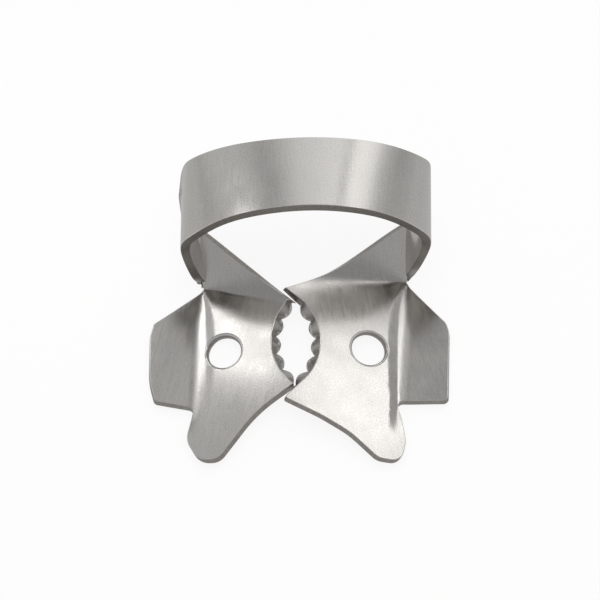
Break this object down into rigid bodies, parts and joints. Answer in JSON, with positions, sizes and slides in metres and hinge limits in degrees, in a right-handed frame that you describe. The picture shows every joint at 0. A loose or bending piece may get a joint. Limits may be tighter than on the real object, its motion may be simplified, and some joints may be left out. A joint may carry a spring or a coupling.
{
  "type": "rubber dam clamp",
  "caption": "Winged molar clamp bent from one piece of spring steel, with a bow over the back, forceps holes and toothed jaws that grip a tooth and hold a rubber dam.",
  "frame": {"origin": "centre of the bounding box at its bottom, on the surface the clamp stands on", "axes": "+X towards the wide jaw plate's wing (the right one seen from the front), +Y towards the bow, +Z away from the gum, up to the crown of the bow"},
  "size_m": [0.0268, 0.0256, 0.0155],
  "materials": {
    "steel": "satin"
  },
  "bodies": {
    "root": {"clamp": "steel"}
  },
  "joints": []
}
